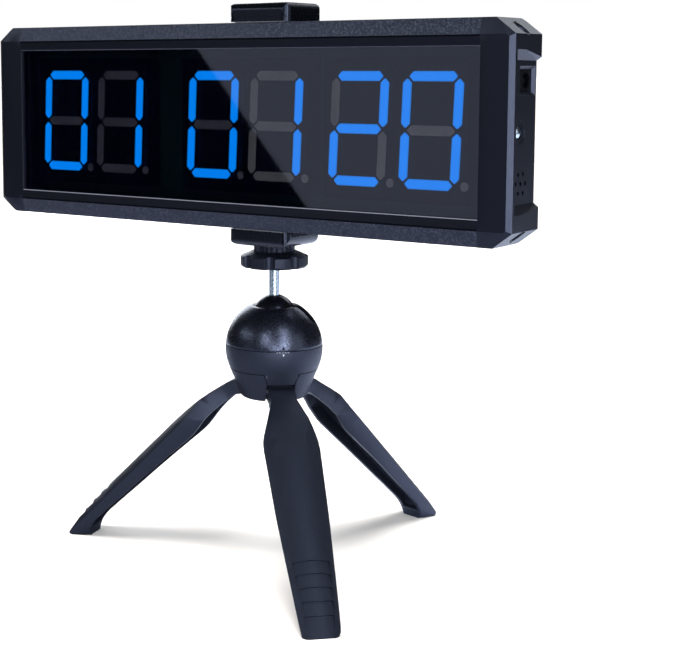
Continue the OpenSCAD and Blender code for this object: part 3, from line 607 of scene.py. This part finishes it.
def staged(name, corners, material):
    mesh = bpy.data.meshes.new(name)
    mesh.from_pydata([tuple(c * MM for c in v) for v in corners], [], [tuple(range(len(corners)))])
    obj = bpy.data.objects.new(name, mesh)
    bpy.context.scene.collection.objects.link(obj)
    mesh.materials.append(material)
    return obj


def only_for_gloss(obj):
    for ray in ("visible_camera", "visible_diffuse", "visible_shadow", "visible_transmission"):
        setattr(obj, ray, False)


# a dark flag: its edge, at these pixels, gives the window its slanting reflection
FLAG_PIXELS = ((177, 20), (332.7, 245), (-40, 245), (-40, 20))
only_for_gloss(staged("flag", [mirrored(u, v, WINDOW_Y - 500) for u, v in FLAG_PIXELS],
                      surface("flag", srgb(3, 8, 30), 0.9, specular=0.0)))

FAR = 40000
floor = staged("floor", [(-FAR, -FAR, 0), (FAR, -FAR, 0), (FAR, FAR, 0), (-FAR, FAR, 0)],
               surface("floor", srgb(253, 247, 241), 0.8, specular=0.0, mottle=0.004, mottle_size=300))
floor.visible_glossy = False

# the table that the gloss sees round the tripod: white behind it and grey in front, and no further
TABLE, TABLE_Z, TABLE_SPLIT = 700, 0.1, 40
white = surface("white_table", srgb(222, 230, 250), 0.8, specular=0.0, mottle=0.01)
dim = surface("dim_table", srgb(134, 138, 152), 0.8, specular=0.0, mottle=0.01)
for name, y0, y1, material in (("table", TABLE_SPLIT, TABLE, white), ("table_front", -TABLE, TABLE_SPLIT, dim)):
    only_for_gloss(staged(name, [(-TABLE, y0, TABLE_Z), (TABLE, y0, TABLE_Z), (TABLE, y1, TABLE_Z),
                                 (-TABLE, y1, TABLE_Z)], material))


# light

# the softboxes leave out the window, which would show them as white patches when it is looked at from the side
spared = bpy.data.collections.new("spared_by_softboxes")
spared.objects.link(bpy.data.objects["window"])
spared.collection_objects[0].light_linking.link_state = "EXCLUDE"

# name, azimuth and elevation in degrees, distance, size in metres, power
SOFTBOXES = (
    ("key", 63, 26, 1.3, (0.36, 1.05), 7.4),
    ("key_low", 57, 6, 1.3, (0.3, 0.6), 5.6),
    ("front", 30, 12, 1.4, (0.25, 0.3), 1.0),
    ("second", 14, 24, 1.4, (0.28, 0.6), 4.5),
    ("top", 180, 74, 1.2, (0.9, 0.55), 4.5),
    ("bar", -41, 24, 1.5, (0.9, 0.16), 2.0),
    ("side", 95, 10, 1.4, (0.6, 0.9), 1.8),
    ("behind", -130, 15, 1.6, (0.8, 0.9), 8),
    ("back", 186, 27, 1.6, (0.7, 0.5), 2.2),
    ("low", 37, -3, 1.3, (0.22, 0.4), 4.6),
)
SOFTBOX_COLOR = (0.9, 0.95, 1.0)
LIT_MIDDLE = Vector((0, 0, 0.13))
for name, azimuth, elevation, distance, size, power in SOFTBOXES:
    a, e = math.radians(azimuth), math.radians(elevation)
    toward = Vector((math.sin(a) * math.cos(e), -math.cos(a) * math.cos(e), math.sin(e)))
    data = bpy.data.lights.new(name, "AREA")
    data.shape = "RECTANGLE"
    data.size, data.size_y = size
    data.energy = power
    data.color = SOFTBOX_COLOR
    obj = bpy.data.objects.new(name, data)
    bpy.context.scene.collection.objects.link(obj)
    obj.location = LIT_MIDDLE + toward * distance
    obj.rotation_euler = (-toward).to_track_quat("-Z", "Y").to_euler()
    obj.light_linking.receiver_collection = spared

sun_data = bpy.data.lights.new("overhead", "SUN")
sun_data.energy = 4.1
sun_data.angle = math.radians(30)
sun = bpy.data.objects.new("overhead", sun_data)
bpy.context.scene.collection.objects.link(sun)
sun.rotation_euler = (math.radians(8), 0, 0)
sun.visible_glossy = False

# a dim room with one bright panel, which the window mirrors, and white for the camera
PANEL_WAY = (-0.59, -0.80, -0.10)
ROOM, PANEL = 0.04, 0.58
world = bpy.data.worlds.new("studio")
bpy.context.scene.world = world
world.use_nodes = True
wt = world.node_tree
sky = wt.nodes["Background"]
sky.inputs["Color"].default_value = (0.84, 0.9, 1, 1)
direction = node(wt, "ShaderNodeTexCoord")
toward_panel = node(wt, "ShaderNodeVectorMath", operation="DOT_PRODUCT")
toward_panel.inputs[1].default_value = PANEL_WAY
link(wt, direction, "Generated", toward_panel, 0)
falloff = ranged(wt, 0.94, 0.972, ROOM, PANEL, interpolation_type="SMOOTHSTEP")
link(wt, toward_panel, "Value", falloff, "Value")
link(wt, falloff, "Result", sky, "Strength")
seen = node(wt, "ShaderNodeBackground", Color=(1, 1, 1, 1), Strength=1.0)
path = node(wt, "ShaderNodeLightPath")
choose = node(wt, "ShaderNodeMixShader")
link(wt, path, "Is Camera Ray", choose, "Fac")
link(wt, sky, 0, choose, 1)
link(wt, seen, 0, choose, 2)
link(wt, choose, 0, wt.nodes["World Output"], "Surface")

bpy.context.scene.view_settings.view_transform = "Standard"
